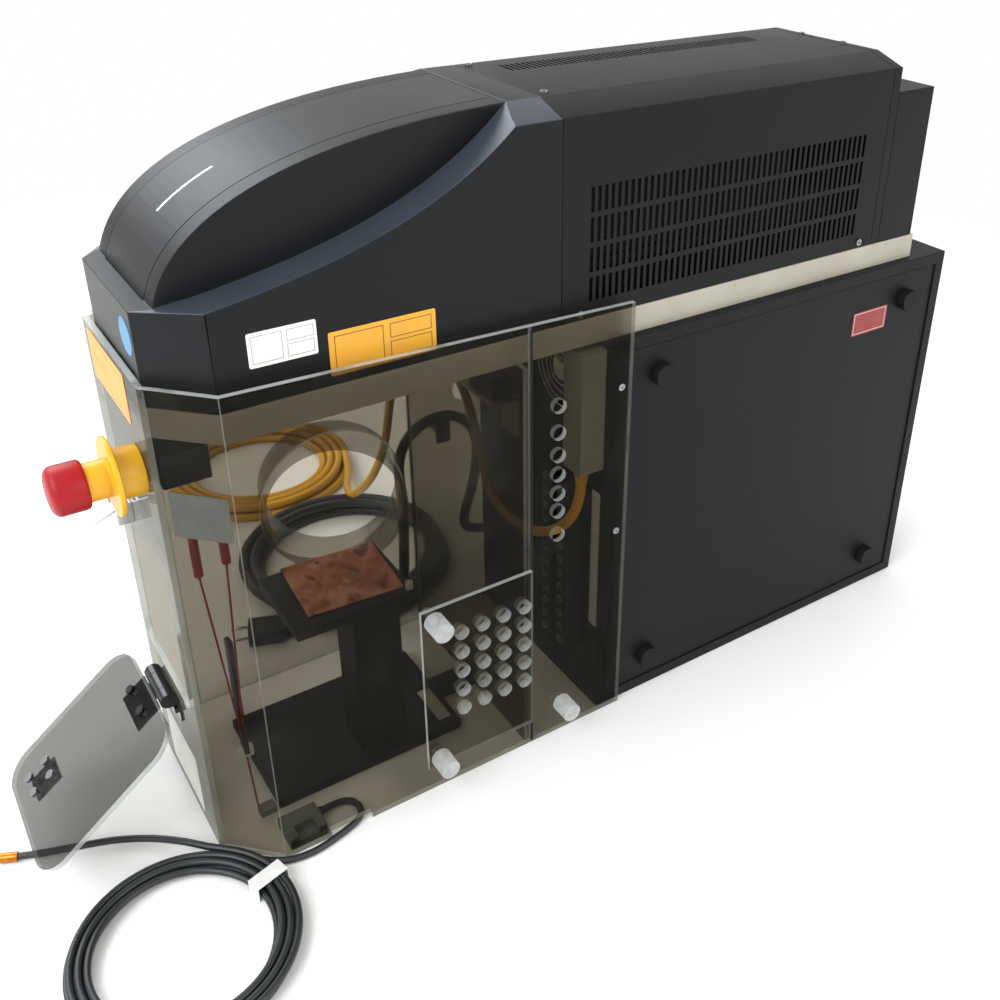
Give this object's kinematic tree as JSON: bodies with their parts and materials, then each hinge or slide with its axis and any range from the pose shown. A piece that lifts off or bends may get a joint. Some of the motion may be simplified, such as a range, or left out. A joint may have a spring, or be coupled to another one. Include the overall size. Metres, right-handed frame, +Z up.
{
  "type": "laser marking machine",
  "caption": "Laser marking machine: a rounded laser head on an upright controller, with a clear screen, drop-down access flap, work fixture, stop button and cords.",
  "frame": {"origin": "on the floor, at the middle of the fixture's underside, straight under the axis on which the beam leaves the head", "axes": "+X along the machine from its front wall to its rear, +Y to the side of the extraction port, +Z up"},
  "size_m": [0.9508, 0.8492, 0.597],
  "materials": {
    "channel_paint": "satin warm grey paint",
    "hood_black": "fine matte moulded black",
    "brushed_inlay": "dark brushed strip",
    "light_pipe": "frosted clear",
    "cover_black": "fine satin black paint",
    "screw_steel": "bright steel",
    "label_film": "blank film in white, amber, blue and dark red",
    "tube_aluminium": "clear anodised",
    "driver_metal": "clear anodised, with a green board beside it",
    "bench_metal": "machined",
    "shaft_steel": "ground steel",
    "carriage_black": "black anodised",
    "galvo_black": "black anodised",
    "mirror_gold": "gold coated",
    "lens_black": "black anodised, with a pale yellow glass",
    "fan_black": "moulded black, with a wire guard in bright steel",
    "clear_acrylic": "clear, slightly smoky sheet with bright edges",
    "hinge_black": "black paint",
    "catch_chrome": "bright plated",
    "stop_yellow": "yellow moulding, with a black contact housing",
    "stop_red": "red moulding",
    "fixture_black": "black anodised, worn",
    "copper_plate": "tarnished copper",
    "lead_red": "red moulding, with a grey tape and thin wires",
    "controller_paint": "satin black paint",
    "foot_rubber": "worn grey rubber",
    "front_paint": "satin dark grey paint, with an aluminium bracket",
    "terminal_black": "black moulding with bright screws",
    "supply_metal": "zinc-plated case",
    "plug_grey": "grey moulding",
    "cord_black": "matte black jacket",
    "cord_yellow": "yellow jacket",
    "tape_white": "white tape, with a wrap of bare copper wire and a dark hook"
  },
  "bodies": {
    "machine": {"base_channel": "channel_paint", "hood": "hood_black", "arch_panel": "brushed_inlay", "light_pipe": "light_pipe", "rear_cover": "cover_black", "rear_cap": "cover_black", "rear_box": "cover_black", "small_screws": "screw_steel", "blank_labels": "label_film", "laser_tube": "tube_aluminium", "rf_driver": "driver_metal", "optics_bench": "bench_metal", "galvo_block": "galvo_black", "scan_lens": "lens_black", "head_fan": "fan_black", "front_wall": "clear_acrylic", "corner_panels": "clear_acrylic", "near_panel": "clear_acrylic", "far_panel": "clear_acrylic", "rear_panels": "clear_acrylic", "bulkhead": "clear_acrylic", "port_collar": "clear_acrylic", "vent_plate": "clear_acrylic", "clear_pegs": "clear_acrylic", "hinge_leaf": "hinge_black", "catch_body": "catch_chrome", "stop_body": "stop_yellow", "fixture_base": "fixture_black", "fixture_stand": "fixture_black", "work_plate": "copper_plate", "test_leads": "lead_red", "controller_case": "controller_paint", "controller_side_plate": "controller_paint", "controller_feet": "foot_rubber", "controller_front": "front_paint", "terminal_blocks": "terminal_black", "controller_fan": "fan_black", "power_supply": "supply_metal", "floor_plug": "plug_grey", "floor_cable": "cord_black", "floor_coil": "cord_black", "floor_tail": "cord_black", "cable_ties": "tape_white", "link_cable": "cord_yellow", "link_coil": "cord_yellow", "feed_cable": "cord_black", "feed_coil": "cord_black", "feed_plug": "cord_black"},
    "flap": {"flap": "clear_acrylic", "flap_leaf": "hinge_black"},
    "catch_lever": {"catch_lever": "catch_chrome"},
    "stop_button": {"stop_button": "stop_red"},
    "key_switch": {"key_switch": "catch_chrome"},
    "head_rotor": {"head_rotor": "fan_black"},
    "controller_rotor": {"controller_rotor": "fan_black"},
    "x_mirror": {"x_mirror": "mirror_gold"},
    "y_mirror": {"y_mirror": "mirror_gold"},
    "focus_screw": {"focus_screw": "shaft_steel"},
    "focus_carriage": {"focus_carriage": "carriage_black"},
    "shutter_flag": {"shutter_flag": "carriage_black"}
  },
  "joints": [
    {"name": "flap_hinge", "type": "hinge", "parent": "machine", "child": "flap", "pos_m": [-0.1635, 0, 0.127], "axis": [0, 1, 0], "range_deg": [0, 127.9]},
    {"name": "catch_pivot", "type": "hinge", "parent": "machine", "child": "catch_lever", "pos_m": [-0.1615, 0.032, 0.2913], "axis": [0, 1, 0], "range_deg": [-68, 0]},
    {"name": "stop_press", "type": "slide", "parent": "machine", "child": "stop_button", "axis": [1, 0, 0], "range_m": [0, 0.005], "stiffness_N_per_m": 600},
    {"name": "key_turn", "type": "hinge", "parent": "machine", "child": "key_switch", "pos_m": [0.212, 0.06, 0.35], "axis": [1, 0, 0], "range_deg": [0, 90]},
    {"name": "head_fan_spin", "type": "hinge", "parent": "machine", "child": "head_rotor", "pos_m": [0.501, 0, 0.445], "axis": [1, 0, 0], "continuous": true},
    {"name": "controller_fan_spin", "type": "hinge", "parent": "machine", "child": "controller_rotor", "pos_m": [0.2135, -0.04, 0.346], "axis": [1, 0, 0], "continuous": true},
    {"name": "x_mirror_turn", "type": "hinge", "parent": "machine", "child": "x_mirror", "pos_m": [0, -0.03, 0.443], "axis": [0, 0, 1], "range_deg": [-12, 12]},
    {"name": "y_mirror_turn", "type": "hinge", "parent": "machine", "child": "y_mirror", "pos_m": [0, 0, 0.443], "axis": [1, 0, 0], "range_deg": [-12, 12]},
    {"name": "focus_screw_turn", "type": "hinge", "parent": "machine", "child": "focus_screw", "pos_m": [0.05, -0.062, 0.423], "axis": [-1, 0, 0], "range_deg": [0, 2880]},
    {"name": "focus_slide", "type": "slide", "parent": "machine", "child": "focus_carriage", "axis": [1, 0, 0], "range_m": [0, 0.016]},
    {"name": "shutter_swing", "type": "hinge", "parent": "machine", "child": "shutter_flag", "pos_m": [0.094, -0.004, 0.414], "axis": [1, 0, 0], "range_deg": [-40, 0]}
  ],
  "couplings": [
    {"joint": "focus_screw_turn", "follows": "focus_slide", "rad_per_m": 3141}
  ]
}
